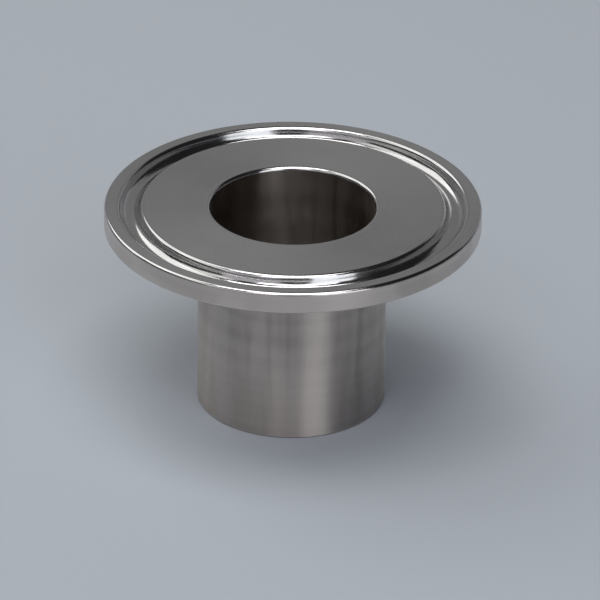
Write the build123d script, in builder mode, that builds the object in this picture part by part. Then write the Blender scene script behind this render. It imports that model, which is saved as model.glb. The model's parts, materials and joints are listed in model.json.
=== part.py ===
from build123d import *
from math import cos, radians, sin, tan
import os

# A 1 inch sanitary clamp ferrule, long weld type, turned in one piece from stainless steel.
#
# It is a short tube with a flange at one end. The tube is butt-welded to a pipe. The flange
# seals face to face against a second ferrule, with a gasket's bead in the groove, and a
# two-part clamp grips the sloping undersides of both flanges and draws them together.
#
# The ferrule is a body of revolution about Z. The origin is the centre of the weld end, so
# the ferrule stands on z = 0 with its sealing face up. Sizes are in millimetres and angles
# in degrees.

# --- Driving dimensions ---------------------------------------------------------------

# Tube
tube_diameter = 25.4  # outside
tube_wall = 1.65
overall_length = 28.6  # from the weld end to the sealing face

# Clamp flange
flange_diameter = 50.5
rim_height = 2.85  # the upright edge of the flange
clamp_slope = 20  # of the underside, against the level
root_round = 2.0  # where the underside runs into the tube

# Gasket groove in the sealing face
land_width = 2.05  # of the flat land from the rim to the groove
groove_width = 2.9  # between its walls, measured at the sealing face
groove_depth = 1.55
groove_wall_lean = 20  # of each wall, against the upright
groove_lip_round = 0.6

# Small edges
bore_mouth_round = 0.5
rim_top_round = 0.45
rim_foot_round = 0.2
weld_edge_break = 0.12

# --- What follows from them -----------------------------------------------------------

tube_radius = tube_diameter / 2
bore_radius = tube_radius - tube_wall
flange_radius = flange_diameter / 2

# The rim stands on the edge of the slope, and the slope meets the tube at the root.
rim_foot_height = overall_length - rim_height
slope_drop = (flange_radius - tube_radius) * tan(radians(clamp_slope))
root_height = rim_foot_height - slope_drop

# The groove lies inside the land, with its centre line on a circle of 43.5. Its floor is
# one arc that meets both leaning walls smoothly, and the arc's radius is the one that
# touches the walls and the stated depth together.
half_mouth = groove_width / 2
groove_radius = flange_radius - land_width - half_mouth
lean = radians(groove_wall_lean)
floor_radius = (half_mouth * cos(lean) - groove_depth * sin(lean)) / (1 - sin(lean))
floor_height = overall_length - groove_depth
arc_centre_height = floor_height + floor_radius
wall_end_reach = floor_radius * cos(lean)
wall_end_height = arc_centre_height - floor_radius * sin(lean)


def corner(section, radius, height):
    """The corner of a section that lies at this radius and height."""
    return section.vertices().sort_by_distance((radius, height))[0]


# --- Ferrule --------------------------------------------------------------------------

with BuildPart() as ferrule:
    with BuildSketch(Plane.XZ) as half_section:
        # The body: up the tube, out along the slope, up the rim and in across the face.
        with BuildLine():
            Polyline(
                (bore_radius, 0),
                (tube_radius, 0),
                (tube_radius, root_height),
                (flange_radius, rim_foot_height),
                (flange_radius, overall_length),
                (bore_radius, overall_length),
                close=True,
            )
        make_face()

        # The groove: two leaning walls joined by the floor's arc.
        with BuildLine():
            inner_wall = Line(
                (groove_radius - half_mouth, overall_length),
                (groove_radius - wall_end_reach, wall_end_height),
            )
            outer_wall = Line(
                (groove_radius + half_mouth, overall_length),
                (groove_radius + wall_end_reach, wall_end_height),
            )
            ThreePointArc(inner_wall @ 1, (groove_radius, floor_height), outer_wall @ 1)
            Line(outer_wall @ 0, inner_wall @ 0)
        make_face(mode=Mode.SUBTRACT)

        # Both lips of the groove are rolled over, so that they don't cut the gasket.
        lips = [
            corner(half_section, groove_radius - half_mouth, overall_length),
            corner(half_section, groove_radius + half_mouth, overall_length),
        ]
        fillet(lips, groove_lip_round)

        fillet(corner(half_section, tube_radius, root_height), root_round)
        fillet(corner(half_section, flange_radius, rim_foot_height), rim_foot_round)
        fillet(corner(half_section, flange_radius, overall_length), rim_top_round)
        fillet(corner(half_section, bore_radius, overall_length), bore_mouth_round)

        # The weld end is cut square, and its two edges are only deburred.
        weld_edges = [
            corner(half_section, bore_radius, 0),
            corner(half_section, tube_radius, 0),
        ]
        chamfer(weld_edges, weld_edge_break)

    revolve(axis=Axis.Z)

ferrule.part.label = "ferrule"

os.makedirs("parts", exist_ok=True)
export_step(ferrule.part, "parts/ferrule.step")

print("wall of the tube", tube_wall, "and radius of the groove's floor", round(floor_radius, 3))
print("volume in cubic millimetres", round(ferrule.part.volume, 1))
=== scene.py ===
# %% [markdown]
# # A turned stainless steel ferrule
#
# A sanitary clamp ferrule is a short tube with a clamp flange at one end. It is turned from
# one bar of stainless steel, so the whole part is one outline carried round one axis. This
# lesson draws that outline, spins it, gives each turned surface its own finish, and lights
# the metal the way a small product is lit on a table.
#
# Everything is in metres. The part stands on the floor at z = 0, with its bore along Z.

import json
from math import ceil, cos, pi, radians, sin, tan

import bmesh
import bpy
from mathutils import Matrix, Vector


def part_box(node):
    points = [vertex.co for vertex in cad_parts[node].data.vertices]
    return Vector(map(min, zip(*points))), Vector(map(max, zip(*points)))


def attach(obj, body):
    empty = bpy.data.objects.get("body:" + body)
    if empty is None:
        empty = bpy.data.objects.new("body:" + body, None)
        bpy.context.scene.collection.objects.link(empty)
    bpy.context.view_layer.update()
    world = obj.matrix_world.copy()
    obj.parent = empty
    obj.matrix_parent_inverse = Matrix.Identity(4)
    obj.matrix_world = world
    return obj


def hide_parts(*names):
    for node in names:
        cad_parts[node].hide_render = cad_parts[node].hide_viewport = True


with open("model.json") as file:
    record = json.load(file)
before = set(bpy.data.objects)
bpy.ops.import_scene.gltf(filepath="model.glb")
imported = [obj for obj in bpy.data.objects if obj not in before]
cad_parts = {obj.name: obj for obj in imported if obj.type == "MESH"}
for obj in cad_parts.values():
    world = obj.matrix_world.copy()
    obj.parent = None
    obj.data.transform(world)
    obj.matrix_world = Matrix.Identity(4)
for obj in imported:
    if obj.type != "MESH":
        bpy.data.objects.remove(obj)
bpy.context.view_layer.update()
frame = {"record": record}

# %% [markdown]
# ## Sizes
#
# The sizes that another part has to fit come from the frame: the box of the ferrule and the
# radii of its mounts. The groove, the clamp slope and the small rounds are the ferrule's own
# sizes, so they are named here, in millimetres times `mm`.

# %% Sizes of the ferrule
mm = 0.001

mounts = {mount["name"]: mount for mount in frame["record"]["mounts"]}
ferrule_low, ferrule_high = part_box("ferrule")

face_height = ferrule_high.z
bore_radius = mounts["bore"]["dims"]["r_mm"] * mm
tube_radius = mounts["tube_outside"]["dims"]["r_mm"] * mm
flange_radius = mounts["clamp_rim"]["dims"]["r_mm"] * mm

rim_height = 2.85 * mm
clamp_slope = 20  # degrees
root_round = 2.0 * mm

land_width = 2.05 * mm
groove_width = 2.9 * mm
groove_depth = 1.55 * mm
groove_wall_lean = 20  # degrees
groove_lip_round = 0.6 * mm

bore_mouth_round = 0.5 * mm
rim_top_round = 0.45 * mm
rim_foot_round = 0.2 * mm
weld_edge_break = 0.12 * mm

print("bore", bore_radius / mm, "tube", tube_radius / mm, "flange", flange_radius / mm)

# %% [markdown]
# ## Drawing with one vertex
#
# The outline has straight runs joined by true arcs. A modeller can draw it with a single
# vertex as the pen: extruding the vertex draws a straight run, and spinning it about a
# point draws an arc. An arc that starts along the last run is smooth where they join, and
# a round drawn this way has its exact radius, which a bevel only comes near.
#
# A polished metal shows how smooth its mesh is. Where a long run meets an arc, the shading
# would slide across the whole run, so each run gets a holding edge close to both its ends.

# %% The pen
holding_gap = 0.06 * mm
shortest_held = 4 * holding_gap


def pen_place():
    """The radius and height of the one selected vertex."""
    mesh = bmesh.from_edit_mesh(bpy.context.edit_object.data)
    place = next(vertex.co for vertex in mesh.verts if vertex.select)
    return Vector((place.x, place.z))


def start_outline(radius, height):
    """A small plane, merged to one vertex, is the pen."""
    bpy.ops.object.select_all(action="DESELECT")
    bpy.ops.mesh.primitive_plane_add(size=mm)
    bpy.ops.object.mode_set(mode="EDIT")
    bpy.ops.mesh.select_mode(type="VERT")
    bpy.ops.mesh.select_all(action="SELECT")
    bpy.ops.mesh.merge(type="CENTER")
    bpy.ops.transform.translate(value=(radius, 0, height))


def draw_by(step):
    """Extrude the pen by a step of (radius, height)."""
    bpy.ops.mesh.extrude_region_move(TRANSFORM_OT_translate={"value": (step.x, 0, step.y)})


def straight_to(radius, height):
    """A straight run with holding edges. Returns its heading."""
    run = Vector((radius, height)) - pen_place()
    hold = run.normalized() * holding_gap
    if run.length > shortest_held:
        draw_by(hold)
        draw_by(run - 2 * hold)
        draw_by(hold)
    else:
        draw_by(run)
    return run.normalized()


def round_to_right(heading, radius, angle, per_step=5):
    """An arc that leaves along the heading and turns to its right. Returns the new heading."""
    side = 1 if angle > 0 else -1
    centre = pen_place() + side * radius * Vector((heading.y, -heading.x))
    bpy.ops.mesh.spin(
        steps=ceil(abs(angle) / per_step),
        angle=-radians(angle),
        center=(centre.x, 0, centre.y),
        axis=(0, 1, 0),
    )
    turned = Matrix.Rotation(radians(-angle), 2) @ heading
    print(f"arc of {radius / mm:.2f} mm through {angle} degrees, ends at", pen_place() / mm)
    return turned


def tangent_length(radius, angle):
    """How far before a corner its round starts."""
    return radius * tan(radians(angle) / 2)


# %% [markdown]
# ## The outline
#
# The pen goes once round the half section: up the bore, out across the sealing face,
# through the gasket groove, over the land, down the rim, in along the clamp slope, and down
# the tube to the weld end.
#
# The groove's floor is one arc between two leaning walls, and the walls roll over into the
# face through a lip at each side. The lips and the floor are what catch the light.

# %% Draw the outline
lean = radians(groove_wall_lean)
lip_turn = 90 - groove_wall_lean
half_mouth = groove_width / 2
groove_radius = flange_radius - land_width - half_mouth
floor_round = (half_mouth * cos(lean) - groove_depth * sin(lean)) / (1 - sin(lean))
wall_end = floor_round * cos(lean)
wall_end_height = face_height - groove_depth + floor_round * (1 - sin(lean))
lip_start = half_mouth + tangent_length(groove_lip_round, lip_turn)
lip_end = lip_start - groove_lip_round * cos(lean)
lip_end_height = face_height - groove_lip_round * (1 - sin(lean))

slope_turn = 90 - clamp_slope
slope_heading = Vector((cos(radians(clamp_slope)), sin(radians(clamp_slope))))
rim_foot = Vector((flange_radius, face_height - rim_height))
root_height = rim_foot.y - (flange_radius - tube_radius) * tan(radians(clamp_slope))
root = Vector((tube_radius, root_height))
root_start = root + slope_heading * tangent_length(root_round, slope_turn)

start_outline(bore_radius, weld_edge_break)
heading = straight_to(bore_radius, face_height - bore_mouth_round)
heading = round_to_right(heading, bore_mouth_round, 90)

heading = straight_to(groove_radius - lip_start, face_height)
heading = round_to_right(heading, groove_lip_round, lip_turn)
heading = straight_to(groove_radius - wall_end, wall_end_height)
heading = round_to_right(heading, floor_round, -2 * lip_turn)
heading = straight_to(groove_radius + lip_end, lip_end_height)
heading = round_to_right(heading, groove_lip_round, lip_turn)

heading = straight_to(flange_radius - rim_top_round, face_height)
heading = round_to_right(heading, rim_top_round, 90)
heading = straight_to(flange_radius, rim_foot.y + tangent_length(rim_foot_round, slope_turn))
heading = round_to_right(heading, rim_foot_round, slope_turn, per_step=10)
heading = straight_to(*root_start)
heading = round_to_right(heading, root_round, -slope_turn)

straight_to(tube_radius, weld_edge_break)
straight_to(tube_radius - weld_edge_break, 0)
straight_to(bore_radius + weld_edge_break, 0)
straight_to(bore_radius, weld_edge_break)

# %% [markdown]
# ## Spinning it
#
# A lathe turns the bar and the tool stays still. Here the outline is carried once round Z.
# The last copy lands on the first, so the doubles are merged, and the normals are then
# made to point out of the metal.

# %% Spin the outline into the ferrule
spin_steps = 288
round_below = radians(30)  # a flatter corner is shaded round
merge_distance = 0.001 * mm

bpy.ops.mesh.select_all(action="SELECT")
bpy.ops.mesh.spin(steps=spin_steps, angle=2 * pi, center=(0, 0, 0), axis=(0, 0, 1))
bpy.ops.mesh.select_all(action="SELECT")
bpy.ops.mesh.remove_doubles(threshold=merge_distance)
bpy.ops.mesh.normals_make_consistent(inside=False)
bpy.ops.object.mode_set(mode="OBJECT")

ferrule = bpy.context.object
ferrule.name = "turned_ferrule"
bpy.ops.object.shade_smooth_by_angle(angle=round_below)

print(len(ferrule.data.vertices), "vertices and", len(ferrule.data.polygons), "faces")
print("its size in mm is", ferrule.dimensions / mm)

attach(ferrule, "root")
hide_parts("ferrule")

# %% [markdown]
# ## What a turned finish is made of
#
# The whole ferrule is one metal, so what the eye tells apart is how each surface was worked.
# A turned wall has fine marks round the axis, a polished groove has hardly any, and every
# surface has some handling on it. Four effects come back in all the finishes: the marks of
# the tool, hairline scratches, a film of handling, and the edges that are rubbed bright.
#
# Each effect is a node group, made once and placed in every finish with its own values. The
# small helpers below keep the groups short to read.

# %% Helpers for nodes
def add_node(tree, kind, **settings):
    """A shader node with its settings."""
    node = tree.nodes.new("ShaderNode" + kind)
    for setting, value in settings.items():
        setattr(node, setting, value)
    return node


def feed(tree, socket, value):
    """Link a socket into another, or set it to a plain value."""
    if isinstance(value, bpy.types.NodeSocket):
        tree.links.new(value, socket)
    else:
        socket.default_value = value


def calculate(tree, operation, first, second):
    """A Math node with two inputs. Returns its result."""
    node = add_node(tree, "Math", operation=operation)
    feed(tree, node.inputs[0], first)
    feed(tree, node.inputs[1], second)
    return node.outputs["Value"]


def ease(tree, value, low, high, at_low=0.0, at_high=1.0):
    """A smooth step from one value to another."""
    node = add_node(tree, "MapRange", interpolation_type="SMOOTHSTEP")
    feed(tree, node.inputs["Value"], value)
    feed(tree, node.inputs["From Min"], low)
    feed(tree, node.inputs["From Max"], high)
    feed(tree, node.inputs["To Min"], at_low)
    feed(tree, node.inputs["To Max"], at_high)
    return node.outputs["Result"]


def new_group(name, inputs, outputs):
    """An empty node group whose sockets are all numbers."""
    group = bpy.data.node_groups.new(name, "ShaderNodeTree")
    for title, value in inputs.items():
        socket = group.interface.new_socket(title, in_out="INPUT", socket_type="NodeSocketFloat")
        socket.default_value = value
    for title in outputs:
        group.interface.new_socket(title, in_out="OUTPUT", socket_type="NodeSocketFloat")
    start = group.nodes.new("NodeGroupInput")
    end = group.nodes.new("NodeGroupOutput")
    print("group", name, "takes", list(inputs), "and gives", outputs)
    return group, start.outputs, end.inputs


def place_on_lathe(tree):
    """The radius and height of the shaded point, which are all that a lathe tool knows."""
    place = add_node(tree, "TexCoord").outputs["Object"]
    flat = add_node(tree, "VectorMath", operation="MULTIPLY")
    feed(tree, flat.inputs[0], place)
    feed(tree, flat.inputs[1], (1, 1, 0))
    radius = add_node(tree, "VectorMath", operation="LENGTH")
    feed(tree, radius.inputs[0], flat.outputs["Vector"])
    apart = add_node(tree, "SeparateXYZ")
    feed(tree, apart.inputs[0], place)
    return radius.outputs["Value"], apart.outputs["Z"]


# %% [markdown]
# ## The marks of the turning tool
#
# The tool leaves a fine thread of grooves round the part. Noise in one dimension is the same
# all the way round when it reads only radius and height. Their sum grows along the flat face
# and along the tube alike, so one group serves every surface. A second, slower noise gives
# the broader bands where the tool rubbed more or less.

# %% Group: turning marks
def make_turning_marks():
    """Fine grooves and slow bands round the axis."""
    spacings = {"Pitch": 0.3 * mm, "Band": 3 * mm}
    group, given, result = new_group("turning_marks", spacings, ["Grooves", "Bands"])
    radius, height = place_on_lathe(group)
    along = calculate(group, "ADD", radius, height)
    for title, spacing in (("Grooves", given["Pitch"]), ("Bands", given["Band"])):
        noise = add_node(group, "TexNoise", noise_dimensions="1D")
        feed(group, noise.inputs["W"], calculate(group, "DIVIDE", along, spacing))
        feed(group, noise.inputs["Scale"], 1.0)
        feed(group, noise.inputs["Detail"], 2.0)
        feed(group, result[title], noise.outputs["Fac"])
    return group


turning_marks = make_turning_marks()

# %% [markdown]
# ## Hairline scratches
#
# Steel that has been wiped and stacked carries short hairlines that cross the tool marks.
# A noise stretched long one way and packed close the other way breaks into streaks, and
# keeping only its peaks leaves thin lines. Two directions together look like handling
# and not like a brushed grain.

# %% Group: hairlines
line_starts = 0.62
line_is_full = 0.72
line_ways = (25, 118)  # degrees round Z


def make_hairlines():
    """Thin straight scratches in two directions."""
    sizes = {"Spacing": 0.15 * mm, "Length": 12 * mm}
    group, given, result = new_group("hairlines", sizes, ["Lines"])
    place = add_node(group, "TexCoord").outputs["Object"]
    stretch = add_node(group, "CombineXYZ")
    feed(group, stretch.inputs["X"], given["Length"])
    feed(group, stretch.inputs["Y"], given["Spacing"])
    feed(group, stretch.inputs["Z"], given["Spacing"])
    both_ways = []
    for way in line_ways:
        turned = add_node(group, "VectorRotate", rotation_type="Z_AXIS")
        feed(group, turned.inputs["Vector"], place)
        feed(group, turned.inputs["Angle"], radians(way))
        packed = add_node(group, "VectorMath", operation="DIVIDE")
        feed(group, packed.inputs[0], turned.outputs["Vector"])
        feed(group, packed.inputs[1], stretch.outputs["Vector"])
        noise = add_node(group, "TexNoise")
        feed(group, noise.inputs["Vector"], packed.outputs["Vector"])
        feed(group, noise.inputs["Scale"], 1.0)
        feed(group, noise.inputs["Detail"], 1.0)
        both_ways.append(ease(group, noise.outputs["Fac"], line_starts, line_is_full))
    feed(group, result["Lines"], calculate(group, "MAXIMUM", *both_ways))
    return group


hairlines = make_hairlines()

# %% [markdown]
# ## A film of handling
#
# Fingers and cloths leave a thin film in soft patches. It changes how the metal shines more
# than its colour. Noise with a little distortion gives patches that drift and fade, and
# drawing them out along Z turns them into the faint upright streaks of a wiped tube.

# %% Group: film
film_starts = 0.35
film_is_full = 0.65
film_drift = 0.5


def make_handling_film():
    """Soft patches, drawn out along the axis where a cloth ran along the tube."""
    patches = {"Size": 9 * mm, "Drawn Out": 1}
    group, given, result = new_group("handling_film", patches, ["Film"])
    place = add_node(group, "TexCoord").outputs["Object"]
    patch = add_node(group, "CombineXYZ")
    feed(group, patch.inputs["X"], given["Size"])
    feed(group, patch.inputs["Y"], given["Size"])
    feed(group, patch.inputs["Z"], calculate(group, "MULTIPLY", given["Size"], given["Drawn Out"]))
    sized = add_node(group, "VectorMath", operation="DIVIDE")
    feed(group, sized.inputs[0], place)
    feed(group, sized.inputs[1], patch.outputs["Vector"])
    noise = add_node(group, "TexNoise")
    feed(group, noise.inputs["Vector"], sized.outputs["Vector"])
    feed(group, noise.inputs["Scale"], 1.0)
    feed(group, noise.inputs["Detail"], 4.0)
    feed(group, noise.inputs["Distortion"], film_drift)
    feed(group, result["Film"], ease(group, noise.outputs["Fac"], film_starts, film_is_full))
    return group


handling_film = make_handling_film()

# %% [markdown]
# ## Edges rubbed bright
#
# A turned edge is a ring, so how near a point is to it follows from radius and height alone.
# The mask is strongest on the ring, fades over a short reach, and noise breaks it up, because
# an edge never wears evenly all round.

# %% Group: rubbed edge
worn_patch = 2.5 * mm
wear_starts = 0.3
wear_is_full = 0.6


def make_rubbed_edge():
    """A worn line along one ring of the part."""
    ring = {"Ring Radius": flange_radius, "Ring Height": face_height, "Reach": 0.4 * mm}
    group, given, result = new_group("rubbed_edge", ring, ["Wear"])
    radius, height = place_on_lathe(group)
    out_by = calculate(group, "SUBTRACT", radius, given["Ring Radius"])
    up_by = calculate(group, "SUBTRACT", height, given["Ring Height"])
    away = add_node(group, "CombineXYZ")
    feed(group, away.inputs["X"], out_by)
    feed(group, away.inputs["Y"], up_by)
    distance = add_node(group, "VectorMath", operation="LENGTH")
    feed(group, distance.inputs[0], away.outputs["Vector"])
    near = ease(group, distance.outputs["Value"], 0.0, given["Reach"], at_low=1.0, at_high=0.0)
    noise = add_node(group, "TexNoise")
    feed(group, noise.inputs["Vector"], add_node(group, "TexCoord").outputs["Object"])
    feed(group, noise.inputs["Scale"], 1 / worn_patch)
    broken = ease(group, noise.outputs["Fac"], wear_starts, wear_is_full)
    feed(group, result["Wear"], calculate(group, "MULTIPLY", near, broken))
    return group


rubbed_edge = make_rubbed_edge()

# %% [markdown]
# ## One recipe for a steel finish
#
# Every finish starts as bare metal: full Metallic, and a base colour that is the tint of its
# reflections. Marks round the axis spread a reflection across themselves and hardly along,
# which makes the tall streaks on a turned tube and the soft fans on a turned face. The
# shader does this with Anisotropic, its tangent running round Z, and a quarter turn.
#
# Over that, the bands and the film dull the colour and the shine, the rubbed edge is
# smoother and brighter, and the grooves and hairlines make the bump.

# %% A steel finish
quarter_turn = 0.25
bands_to_pitch = 8
band_starts = 0.35
band_is_full = 0.65
band_share = 0.3
film_share = 0.7
rub_gain = 1.12
rub_smoothing = 0.5
hairline_depth = 0.5  # of the grooves' depth


def place_group(tree, group, **values):
    """Place a node group and set its named inputs."""
    node = tree.nodes.new("ShaderNodeGroup")
    node.node_tree = group
    for title, value in values.items():
        node.inputs[title.replace("_", " ")].default_value = value
    return node.outputs


def blend_colour(tree, amount, first, second):
    """Two colours mixed by a mask."""
    node = add_node(tree, "Mix", data_type="RGBA")
    feed(tree, node.inputs["Factor"], amount)
    feed(tree, node.inputs[6], first)
    feed(tree, node.inputs[7], second)
    return node.outputs[2]


def bare_metal(name, anisotropy):
    """A new material of plain metal whose marks run round Z."""
    material = bpy.data.materials.new(name)
    material.use_nodes = True
    tree = material.node_tree
    shader = tree.nodes["Principled BSDF"]
    shader.inputs["Metallic"].default_value = 1
    shader.inputs["Anisotropic"].default_value = anisotropy
    shader.inputs["Anisotropic Rotation"].default_value = quarter_turn
    round_axis = add_node(tree, "Tangent", direction_type="RADIAL", axis="Z")
    feed(tree, shader.inputs["Tangent"], round_axis.outputs["Tangent"])
    return material, tree, shader


def steel_finish(name, bright, dull, smooth, rough, anisotropy, pitch, depth, film, edge):
    """A worked steel surface. Film is (size, drawn out), edge is (radius, height, reach)."""
    material, tree, shader = bare_metal(name, anisotropy)

    marks = place_group(tree, turning_marks, Pitch=pitch, Band=bands_to_pitch * pitch)
    lines = place_group(tree, hairlines)["Lines"]
    patches = place_group(tree, handling_film, Size=film[0], Drawn_Out=film[1])["Film"]
    ring = dict(zip(("Ring_Radius", "Ring_Height", "Reach"), edge))
    wear = place_group(tree, rubbed_edge, **ring)["Wear"]

    banded = ease(tree, marks["Bands"], band_starts, band_is_full, at_high=band_share)
    dulled = calculate(tree, "ADD", banded, calculate(tree, "MULTIPLY", patches, film_share))
    colour = blend_colour(tree, dulled, (*bright, 1), (*dull, 1))
    rubbed = tint(rub_gain, bright)
    feed(tree, shader.inputs["Base Color"], blend_colour(tree, wear, colour, (*rubbed, 1)))

    shine = ease(tree, dulled, 0.0, 1.0, at_low=smooth, at_high=rough)
    rubbing = calculate(tree, "MULTIPLY", wear, rub_smoothing * smooth)
    feed(tree, shader.inputs["Roughness"], calculate(tree, "SUBTRACT", shine, rubbing))

    scratches = calculate(tree, "MULTIPLY", lines, hairline_depth)
    bump = add_node(tree, "Bump")
    feed(tree, bump.inputs["Height"], calculate(tree, "SUBTRACT", marks["Grooves"], scratches))
    feed(tree, bump.inputs["Strength"], 1.0)
    feed(tree, bump.inputs["Distance"], depth)
    feed(tree, shader.inputs["Normal"], bump.outputs["Normal"])
    print(f"{name}: roughness {smooth} to {rough}, grooves {depth / mm:.4f} mm deep")
    return material


def tint(part, colour):
    """A colour made lighter or darker."""
    return [part * channel for channel in colour]


# %% [markdown]
# ## The sealing face
#
# The face is turned square and left satin, so a gasket beds on it. It shows soft fans of light
# and shade that turn with the view, the sign of fine marks round the axis. The reflections
# are neutral grey.

# %% Finish: satin face
steel = (0.62, 0.61, 0.615)

satin_face = steel_finish(
    "satin_face",
    bright=tint(1.08, steel),
    dull=tint(0.97, steel),
    smooth=0.27,
    rough=0.32,
    anisotropy=0.5,
    pitch=0.25 * mm,
    depth=0.0004 * mm,
    film=(9 * mm, 1),
    edge=(bore_radius + bore_mouth_round, face_height, 0.4 * mm),
)

# %% [markdown]
# ## The groove and the rounds
#
# The gasket groove and the rounds at the bore and the rim are polished, so that nothing clings
# to them. They mirror the soft boxes as bright lines with dark gaps between. A trace of
# roughness keeps those lines from looking like chrome plating.

# %% Finish: polished rounds
polished_round = steel_finish(
    "polished_round",
    bright=tint(1.08, steel),
    dull=tint(0.95, steel),
    smooth=0.12,
    rough=0.19,
    anisotropy=0.3,
    pitch=0.2 * mm,
    depth=0.0001 * mm,
    film=(5 * mm, 1),
    edge=(flange_radius, face_height, 0.5 * mm),
)

# %% [markdown]
# ## The rim and the clamp slope
#
# Where the clamp grips, the steel is turned and left. Stainless steel is a little warm beside
# the grey-blue table, and that shows most on the surfaces that mirror the table.

# %% Finish: turned rim
warm_steel = (0.65, 0.59, 0.55)

turned_rim = steel_finish(
    "turned_rim",
    bright=tint(0.99, warm_steel),
    dull=tint(0.88, warm_steel),
    smooth=0.28,
    rough=0.36,
    anisotropy=0.8,
    pitch=0.2 * mm,
    depth=0.0006 * mm,
    film=(6 * mm, 1),
    edge=(flange_radius, rim_foot.y, 0.2 * mm),
)

# %% [markdown]
# ## The tube
#
# The tube is the roughest of the outside surfaces. Its marks spread each soft box into a tall
# streak as high as the tube, with a sharp side edge. The film is drawn out along the tube, the
# way a cloth runs when the part is wiped.

# %% Finish: turned tube
turned_tube = steel_finish(
    "turned_tube",
    bright=tint(0.91, warm_steel),
    dull=tint(0.8, warm_steel),
    smooth=0.38,
    rough=0.46,
    anisotropy=0.95,
    pitch=0.22 * mm,
    depth=0.0006 * mm,
    film=(2.5 * mm, 12),
    edge=(tube_radius, 0, 0.5 * mm),
)

# %% [markdown]
# ## The bore
#
# The bore is the plain inside of the tube, duller than the outside. It sees little but itself,
# so its colour is painted darker and browner than the outside's: painted shade for the recess
# and for the warm light it passes to itself. What light reaches it makes a few upright bands.

# %% Finish: bored wall, painted darker for the shade inside it
# painted shade: a browner tint, and bright and dull parts about half as bright as the outside's
bore_shade_brown = (0.67, 0.59, 0.53)

bored_wall_and_painted_shade = steel_finish(
    "bored_wall_and_painted_shade",
    bright=tint(0.53, bore_shade_brown),
    dull=tint(0.43, bore_shade_brown),
    smooth=0.28,
    rough=0.38,
    anisotropy=0.85,
    pitch=0.3 * mm,
    depth=0.0008 * mm,
    film=(3 * mm, 8),
    edge=(bore_radius, 0, 0.5 * mm),
)

# %% [markdown]
# ## The weld end
#
# The foot of the tube is cut square for welding and is never polished. Its broken edge is
# painted far darker than the tube, partly the duller cut and partly a painted contact shadow,
# and that draws the thin dark line where the part meets the table.

# %% Finish: cut end, painted dark for the contact shadow
cut_end_contact_shade = steel_finish(
    "cut_end_contact_shade",
    # painted contact shadow: far darker than the tube's own steel
    bright=tint(0.42, warm_steel),
    dull=tint(0.3, warm_steel),
    smooth=0.35,
    rough=0.5,
    anisotropy=0.6,
    pitch=0.3 * mm,
    depth=0.001 * mm,
    film=(4 * mm, 1),
    edge=(tube_radius, 0, 0.1 * mm),
)

# %% [markdown]
# ## Giving each surface its finish
#
# The finishes go on the faces of the one mesh, as the polishing wheel went on the faces of the
# one part. A face is picked by where its middle lies: by its distance from the axis and its
# height. The tube's finish is in the first slot, so it is what every face starts with.

# %% Pick faces and give them a finish
for material in (turned_tube, turned_rim, satin_face, polished_round, bored_wall_and_painted_shade, cut_end_contact_shade):
    ferrule.data.materials.append(material)


def give_finish(material, radii, heights):
    """Give a finish to the faces whose middle lies in a range of radius and of height."""
    bpy.ops.object.mode_set(mode="EDIT")
    bpy.ops.mesh.select_mode(type="FACE")
    bpy.ops.mesh.select_all(action="DESELECT")
    mesh = bmesh.from_edit_mesh(ferrule.data)
    for face in mesh.faces:
        middle = face.calc_center_median()
        in_radius = radii[0] < middle.xy.length < radii[1]
        in_height = heights[0] < middle.z < heights[1]
        face.select_set(in_radius and in_height)
    bmesh.update_edit_mesh(ferrule.data)
    ferrule.active_material_index = ferrule.data.materials.find(material.name)
    bpy.ops.object.material_slot_assign()
    print(material.name, "goes on", ferrule.data.total_face_sel, "faces")
    bpy.ops.object.mode_set(mode="OBJECT")


# %% [markdown]
# A hair of `flatness` tells the flat face from the rounds that run into it. The wheel reaches
# over the top of the bore's and the rim's round and not all the way down, so only the upper
# part of those two is polished.

# %% The bore, the rim, the faces and the cut end
flatness = 0.0005 * mm
slack = 0.01 * mm
flange_outside = flange_radius + slack

give_finish(bored_wall_and_painted_shade, (0, bore_radius + bore_mouth_round), (0, face_height - flatness))
give_finish(cut_end_contact_shade, (bore_radius, tube_radius), (-flatness, weld_edge_break))
give_finish(turned_rim, (tube_radius + slack, flange_outside), (0, face_height))
give_finish(satin_face, (bore_radius, flange_outside), (face_height - flatness, face_height + flatness))

# %% The groove and the two rounds
mouth_polish = 0.7  # of the round's height
rim_polish = 0.6

groove_mouth = (groove_radius - lip_start, groove_radius + lip_start)
groove_heights = (face_height - groove_depth - slack, face_height - flatness)
give_finish(polished_round, groove_mouth, groove_heights)

mouth_radii = (bore_radius, bore_radius + bore_mouth_round)
mouth_heights = (face_height - mouth_polish * bore_mouth_round, face_height - flatness)
give_finish(polished_round, mouth_radii, mouth_heights)

rim_radii = (flange_radius - rim_top_round, flange_outside)
rim_heights = (face_height - rim_polish * rim_top_round, face_height - flatness)
give_finish(polished_round, rim_radii, rim_heights)

# %% [markdown]
# ## The table
#
# The part stands on a plain pale table. Its surface is one more outline for the pen: flat out
# from the middle, then sweeping up at the rim, so that a camera low at any side still looks
# at paint and not past the edge. Grey-blue paint sets off the neutral metal.

# %% Table
table_flat = 0.9
table_sweep = 0.8
table_turn = 60  # degrees that the rim sweeps up
table_steps = 96

start_outline(0, 0)
heading = straight_to(table_flat, 0)
round_to_right(heading, table_sweep, -table_turn)
bpy.ops.mesh.select_all(action="SELECT")
bpy.ops.mesh.spin(steps=table_steps, angle=2 * pi, center=(0, 0, 0), axis=(0, 0, 1))
bpy.ops.mesh.select_all(action="SELECT")
bpy.ops.mesh.remove_doubles(threshold=merge_distance)
bpy.ops.object.mode_set(mode="OBJECT")
bpy.ops.object.shade_smooth_by_angle(angle=round_below)

table = bpy.context.object
table.name = "table"

# %% Table paint
grey_blue = (0.483, 0.522, 0.576)
eggshell = 0.8

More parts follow.
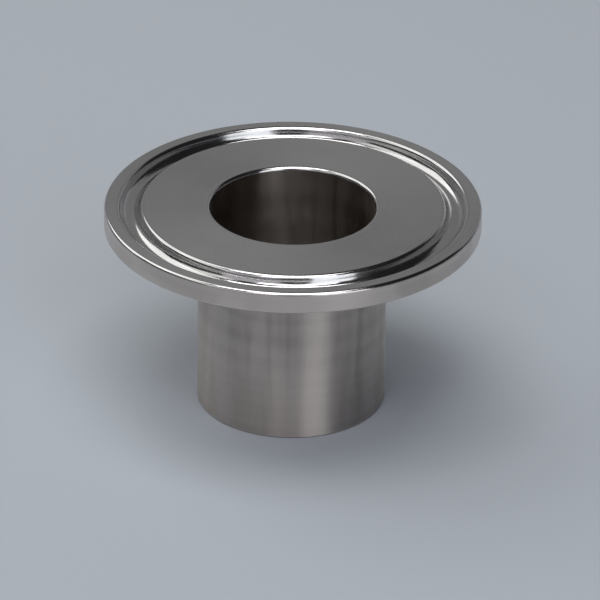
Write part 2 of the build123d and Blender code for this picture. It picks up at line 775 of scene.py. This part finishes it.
table_paint = bpy.data.materials.new("table_paint")
table_paint.use_nodes = True
paint_shader = table_paint.node_tree.nodes["Principled BSDF"]
paint_shader.inputs["Base Color"].default_value = (*grey_blue, 1)
paint_shader.inputs["Roughness"].default_value = eggshell
table.data.materials.append(table_paint)

print("the table is", round(table.dimensions.x, 2), "m across")

# %% [markdown]
# ## The camera
#
# The camera looks down at a good quarter of a right angle, so the sealing face shows as a wide
# ellipse and the tube below it still has its length. A long lens from under a metre keeps the
# tube's sides parallel to the eye.

# %% Camera
camera_distance = 0.8358
camera_elevation = 29.03  # degrees above the table
camera_roll = 0.71  # degrees
camera_aim = Vector((1.09, 0, 14.22)) * mm
camera_lens = 369.4
camera_film = 36
nearest = 0.01
farthest = 20

up = radians(camera_elevation)
bpy.ops.object.select_all(action="DESELECT")
bpy.ops.object.camera_add(location=camera_distance * Vector((0, -cos(up), sin(up))))
camera = bpy.context.object
camera.data.lens = camera_lens
camera.data.sensor_width = camera_film
camera.data.clip_start = nearest
camera.data.clip_end = farthest

look = (camera_aim - camera.location).to_track_quat("-Z", "Y").to_matrix()
tilt = Matrix.Rotation(radians(camera_roll), 3, "Z")
camera.rotation_euler = (look @ tilt).to_euler()
bpy.context.scene.camera = camera

print("the camera stands at", camera.location)

# %% [markdown]
# ## Light for polished metal
#
# Metal has no look of its own: it shows its surroundings. A plain bright room would make the
# groove one even grey, so the room is nearly dark and soft boxes stand round the part. Each
# box becomes a bright line in the groove and a band on the tube, and each gap between boxes
# becomes a dark one. The right side is left dark on purpose, which gives the tube its form
# and lets the shadow fall to that side.
#
# A box is placed by the direction in which the part sees it, by how wide and high it looks
# from there, and by its glow. The glow is how bright it looks in a perfect mirror, where 1 is
# white, so the watts follow from its area.
#
# The light from the left is a little straw-coloured and the light from the front a little
# lilac. Where the part blocks the one, only the other is left, which gives the two shadows
# their different greys.

# %% A soft box
box_distance = 1.0
white = (1, 1, 1)
daylight = (1, 1, 0.98)
straw = (0.99, 1, 0.97)
lilac = (1, 0.98, 1.03)
cool = (0.92, 0.96, 1)


def soft_box(name, azimuth, elevation, width, height, glow, colour=white):
    """A soft box turned to the sealing face. Azimuth runs from +X through +Y, in degrees."""
    across = radians(azimuth)
    above = radians(elevation)
    outward = Vector((cos(above) * cos(across), cos(above) * sin(across), sin(above)))
    facing = outward.to_track_quat("Z", "Y").to_euler()
    place = Vector((0, 0, face_height)) + box_distance * outward
    bpy.ops.object.light_add(type="AREA", location=place, rotation=facing)
    light = bpy.context.object
    light.name = name
    light.visible_camera = False
    light.data.shape = "RECTANGLE"
    light.data.size = 2 * box_distance * tan(radians(width) / 2)
    light.data.size_y = 2 * box_distance * tan(radians(height) / 2)
    light.data.color = colour
    light.data.energy = glow * pi * light.data.size * light.data.size_y
    print(f"{name} gives {light.data.energy:.2f} W")


# %% [markdown]
# ## Seven boxes, each for one thing
#
# The key hangs overhead and gives the soft shadow under the flange. A tall window behind the
# left shoulder lights the right of the groove and the tube's left edge, and a side box
# carries that light forward. The box above the camera draws the white arcs at the front and the
# back of the groove. The tall box at the front right draws the streak on the tube. A faint card
# at the front left keeps the tube's middle grey, and a dim wall behind is what the flat face
# shows to the camera.

# %% Place the soft boxes
soft_box("overhead", azimuth=240, elevation=85, width=40, height=30, glow=3.4, colour=daylight)
soft_box("window", azimuth=140, elevation=45, width=40, height=45, glow=1.3, colour=straw)
soft_box("side", azimuth=190, elevation=45, width=40, height=20, glow=1.0, colour=straw)
soft_box("above_camera", azimuth=275, elevation=50, width=45, height=15, glow=3.0, colour=lilac)
soft_box("front_right", azimuth=300, elevation=20, width=30, height=40, glow=1.4, colour=cool)
soft_box("front_left", azimuth=240, elevation=30, width=40, height=30, glow=0.5, colour=lilac)
soft_box("back_wall", azimuth=90, elevation=25, width=90, height=40, glow=0.2)

# %% [markdown]
# ## The room
#
# What is left of the room is a faint even glow, so that no gap between the boxes is pure black.
# The view transform is Standard, which shows a colour about as it is written.

# %% Room
room_glow = 0.015

room = bpy.data.worlds.new("room")
room.use_nodes = True
room.node_tree.nodes["Background"].inputs["Color"].default_value = (1, 1, 1, 1)
room.node_tree.nodes["Background"].inputs["Strength"].default_value = room_glow
bpy.context.scene.world = room
bpy.context.scene.view_settings.view_transform = "Standard"
